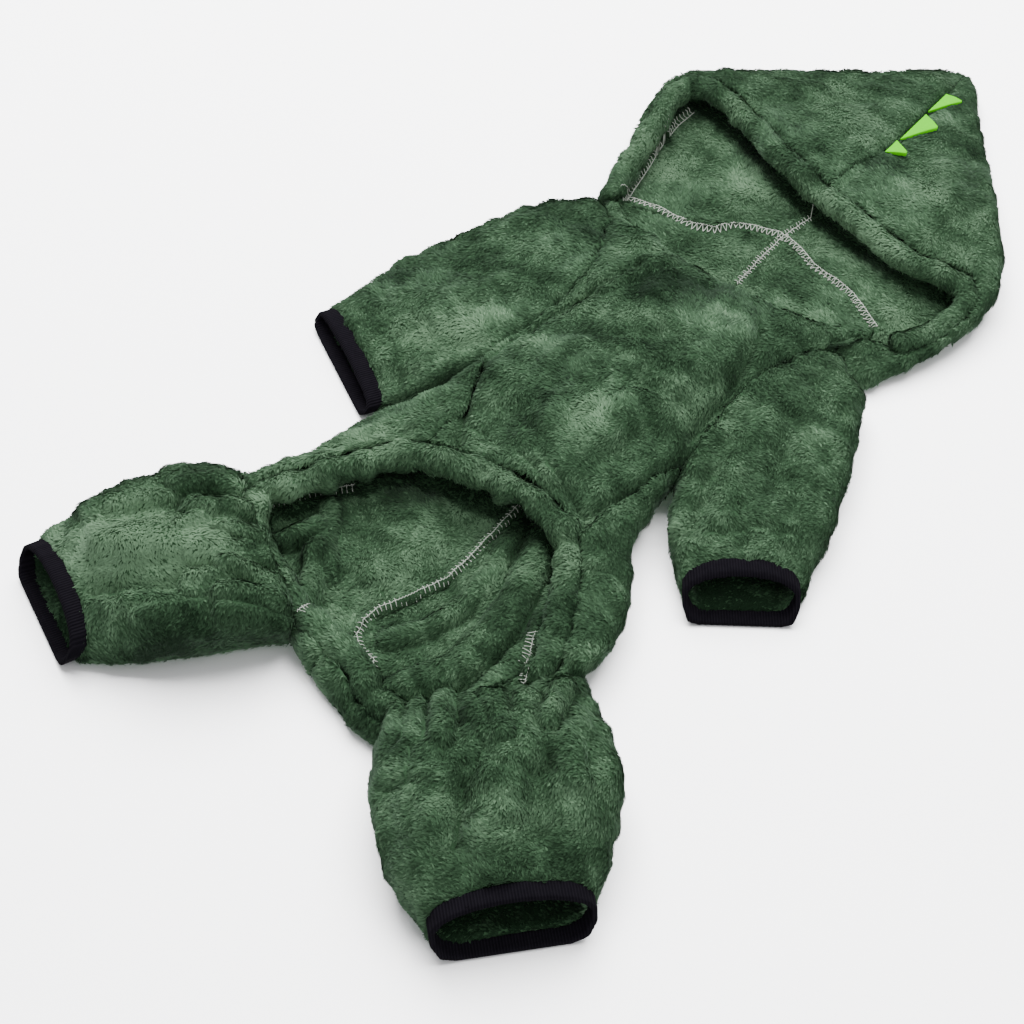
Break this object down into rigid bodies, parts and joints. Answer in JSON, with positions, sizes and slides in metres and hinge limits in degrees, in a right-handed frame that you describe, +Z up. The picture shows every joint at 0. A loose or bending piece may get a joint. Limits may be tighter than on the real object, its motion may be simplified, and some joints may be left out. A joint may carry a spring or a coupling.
{
  "type": "dinosaur dog costume",
  "caption": "Hooded plush fleece dog costume with sleeves, legs, ribbed cuff bindings and felt spikes on the hood, laid flat on its back with the belly opening upwards.",
  "frame": {"origin": "bottom centre of the garment's bounding box, on the surface it lies on", "axes": "+Z up, +Y along the spine from the rear towards the hood, +X to the side of the sleeve at the right when seen from above with the hood at the top"},
  "size_m": [0.332, 0.6144, 0.0456],
  "materials": {
    "plush_fleece": "double-sided plush coral fleece, short soft pile with brushed light and dark patches",
    "rib_binding": "near-black ribbed knit binding",
    "felt_spike": "bright lime felt",
    "overlock_thread": "pale spun polyester overlock thread"
  },
  "bodies": {
    "root": {"back_left": "plush_fleece", "back_right": "plush_fleece", "chest_panel": "plush_fleece", "belly_hem": "plush_fleece", "hood_left": "plush_fleece", "hood_right": "plush_fleece", "hood_brim": "plush_fleece", "sleeve_front_left": "plush_fleece", "sleeve_front_right": "plush_fleece", "leg_hind_left": "plush_fleece", "leg_hind_right": "plush_fleece", "binding_sleeve_front_left": "rib_binding", "binding_sleeve_front_right": "rib_binding", "binding_leg_hind_left": "rib_binding", "binding_leg_hind_right": "rib_binding", "spike_lower": "felt_spike", "spike_middle": "felt_spike", "spike_upper": "felt_spike"}
  },
  "joints": []
}
